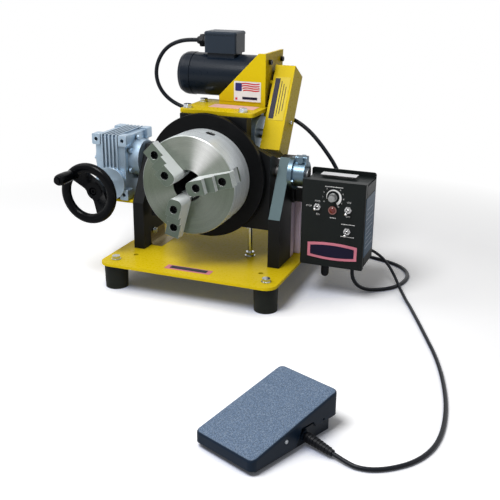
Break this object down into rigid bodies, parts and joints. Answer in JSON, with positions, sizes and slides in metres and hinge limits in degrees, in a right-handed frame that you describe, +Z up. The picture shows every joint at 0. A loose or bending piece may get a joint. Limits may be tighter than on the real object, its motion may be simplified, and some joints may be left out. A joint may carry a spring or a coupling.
{
  "type": "welding positioner",
  "caption": "Bench welding positioner: three-jaw chuck on a motor-driven spindle in a hand-cranked tilting head, with control box and foot pedal.",
  "frame": {"origin": "centre of the bench-bolt pattern on the underside of the base plate", "axes": "+X to the operator's right, along the tilt axis; +Y away from the operator, along the spindle towards its back; +Z up"},
  "size_m": [0.8719, 1.0824, 0.522],
  "materials": {
    "yellow_paint": "semi-gloss golden-yellow enamel",
    "black_paint": "satin black paint",
    "disc_black": "satin black oxide",
    "rubber": "matt moulded rubber",
    "zinc": "bright zinc plate",
    "cast_aluminium": "die-cast, lightly blasted",
    "steel": "ground",
    "bronze": "cast bronze",
    "chuck_steel": "turned and ground",
    "jaw_steel": "ground",
    "gloss_black": "gloss moulded plastic",
    "motor_navy": "satin navy-black paint",
    "box_slate": "satin slate-blue paint",
    "box_black": "fine-textured black powder coat",
    "nickel": "nickel plate",
    "lamp_red": "clear red lens",
    "black_plastic": "moulded nylon",
    "cord_black": "soft PVC jacket",
    "knob_grey": "metal-capped knob",
    "pedal_black": "satin black",
    "pedal_slate": "wrinkle-finish slate blue"
  },
  "bodies": {
    "base": {"base_plate": "yellow_paint", "feet": "rubber", "base_bolts": "zinc", "upright_left": "black_paint", "upright_right": "black_paint", "clamp_collar": "zinc", "tilt_gearbox": "cast_aluminium", "tilt_gearbox_cover": "cast_aluminium", "gearbox_shelf": "yellow_paint", "control_chassis": "box_black", "control_cover": "box_black", "box_bracket": "black_paint", "toggle_bushings": "nickel", "pilot_lamp": "lamp_red", "box_fittings": "black_plastic", "motor_cord": "cord_black", "pedal_cord": "cord_black", "mains_cord": "cord_black", "mains_coil": "cord_black", "mains_plug": "black_plastic", "pedal_base": "pedal_black", "pedal_strain_relief": "black_plastic"},
    "tilt_handwheel": {"tilt_worm": "steel", "handwheel": "gloss_black"},
    "grip": {"handwheel_grip": "gloss_black"},
    "head": {"head_frame": "black_paint", "trunnion_shafts": "steel", "tilt_worm_wheel": "bronze", "spindle_gearbox": "cast_aluminium", "spindle_gearbox_cover": "cast_aluminium", "spindle_bearings": "steel", "top_plate": "yellow_paint", "motor_bracket": "yellow_paint", "head_bolts": "zinc", "motor_body": "motor_navy", "motor_end_bell": "motor_navy", "junction_box": "box_slate", "motor_gland": "black_plastic", "drive_chain": "steel", "chain_guard": "yellow_paint"},
    "chuck": {"spindle": "steel", "spindle_worm_wheel": "bronze", "face_disc": "disc_black", "chuck_backplate": "chuck_steel", "chuck_body": "chuck_steel"},
    "scroll": {"scroll_plate": "steel"},
    "jaw_1": {"jaw_1": "jaw_steel"},
    "jaw_2": {"jaw_2": "jaw_steel"},
    "jaw_3": {"jaw_3": "jaw_steel"},
    "pinion_1": {"pinion_1": "steel"},
    "pinion_2": {"pinion_2": "steel"},
    "pinion_3": {"pinion_3": "steel"},
    "drive_worm": {"spindle_worm": "steel", "large_sprocket": "steel"},
    "motor_shaft": {"motor_sprocket": "steel"},
    "toggle_1": {"toggle_lever_1": "nickel"},
    "toggle_2": {"toggle_lever_2": "nickel"},
    "toggle_3": {"toggle_lever_3": "nickel"},
    "knob": {"speed_knob": "knob_grey"},
    "pedal": {"pedal_cover": "pedal_slate"}
  },
  "joints": [
    {"name": "head_tilt", "type": "hinge", "parent": "base", "child": "head", "pos_m": [0, -0.016, 0.196], "axis": [1, 0, 0], "range_deg": [-90, 0], "deforming": ["motor_cord"]},
    {"name": "tilt_handwheel_turn", "type": "hinge", "parent": "base", "child": "tilt_handwheel", "pos_m": [-0.228, -0.1, 0.146], "axis": [0, 1, 0], "range_deg": [-3600, 0]},
    {"name": "handwheel_grip_spin", "type": "hinge", "parent": "tilt_handwheel", "child": "grip", "pos_m": [-0.26078, -0.205, 0.18507], "axis": [0, 1, 0], "continuous": true},
    {"name": "chuck_spin", "type": "hinge", "parent": "head", "child": "chuck", "pos_m": [0, -0.1, 0.186], "axis": [0, 1, 0], "continuous": true},
    {"name": "drive_worm_turn", "type": "hinge", "parent": "head", "child": "drive_worm", "pos_m": [0, 0.026, 0.264], "axis": [1, 0, 0], "continuous": true},
    {"name": "motor_shaft_turn", "type": "hinge", "parent": "head", "child": "motor_shaft", "pos_m": [0.1, 0.088, 0.374], "axis": [1, 0, 0], "continuous": true},
    {"name": "scroll_turn", "type": "hinge", "parent": "chuck", "child": "scroll", "pos_m": [0, -0.122, 0.186], "axis": [0, 1, 0], "range_deg": [-450, 450]},
    {"name": "jaw_1_slide", "type": "slide", "parent": "chuck", "child": "jaw_1", "axis": [0.9659, 0, 0.2588], "range_m": [-0.01, 0.01]},
    {"name": "jaw_2_slide", "type": "slide", "parent": "chuck", "child": "jaw_2", "axis": [-0.7071, 0, 0.7071], "range_m": [-0.01, 0.01]},
    {"name": "jaw_3_slide", "type": "slide", "parent": "chuck", "child": "jaw_3", "axis": [-0.2588, 0, -0.9659], "range_m": [-0.01, 0.01]},
    {"name": "pinion_1_turn", "type": "hinge", "parent": "chuck", "child": "pinion_1", "pos_m": [0.02329, -0.108, 0.27293], "axis": [0.2588, 0, 0.9659], "range_deg": [-1800, 1800]},
    {"name": "pinion_2_turn", "type": "hinge", "parent": "chuck", "child": "pinion_2", "pos_m": [-0.08693, -0.108, 0.16271], "axis": [-0.9659, 0, -0.2588], "range_deg": [-1800, 1800]},
    {"name": "pinion_3_turn", "type": "hinge", "parent": "chuck", "child": "pinion_3", "pos_m": [0.06364, -0.108, 0.12236], "axis": [0.7071, 0, -0.7071], "range_deg": [-1800, 1800]},
    {"name": "direction_toggle", "type": "hinge", "parent": "base", "child": "toggle_1", "pos_m": [0.243, -0.068, 0.145], "axis": [1, 0, 0], "range_deg": [-12, 12]},
    {"name": "power_toggle", "type": "hinge", "parent": "base", "child": "toggle_2", "pos_m": [0.307, -0.068, 0.145], "axis": [1, 0, 0], "range_deg": [-24, 0]},
    {"name": "source_toggle", "type": "hinge", "parent": "base", "child": "toggle_3", "pos_m": [0.307, -0.068, 0.1], "axis": [1, 0, 0], "range_deg": [-24, 0]},
    {"name": "speed_knob_turn", "type": "hinge", "parent": "base", "child": "knob", "pos_m": [0.275, -0.07, 0.168], "axis": [0, 1, 0], "range_deg": [0, 300]},
    {"name": "pedal_press", "type": "hinge", "parent": "base", "child": "pedal", "pos_m": [0.32418, -0.62318, -0.027], "axis": [-0.9198, 0.3923, 0], "range_deg": [0, 8], "stiffness_Nm_per_rad": 2, "springref_deg": -8.59}
  ],
  "couplings": [
    {"joint": "tilt_handwheel_turn", "follows": "head_tilt", "ratio": 40},
    {"joint": "drive_worm_turn", "follows": "chuck_spin", "ratio": 30},
    {"joint": "motor_shaft_turn", "follows": "chuck_spin", "ratio": 46.667},
    {"joint": "jaw_1_slide", "follows": "scroll_turn", "m_per_rad": 0.0012732},
    {"joint": "pinion_1_turn", "follows": "scroll_turn", "ratio": 4},
    {"joint": "jaw_2_slide", "follows": "scroll_turn", "m_per_rad": 0.0012732},
    {"joint": "pinion_2_turn", "follows": "scroll_turn", "ratio": 4},
    {"joint": "jaw_3_slide", "follows": "scroll_turn", "m_per_rad": 0.0012732},
    {"joint": "pinion_3_turn", "follows": "scroll_turn", "ratio": 4}
  ]
}
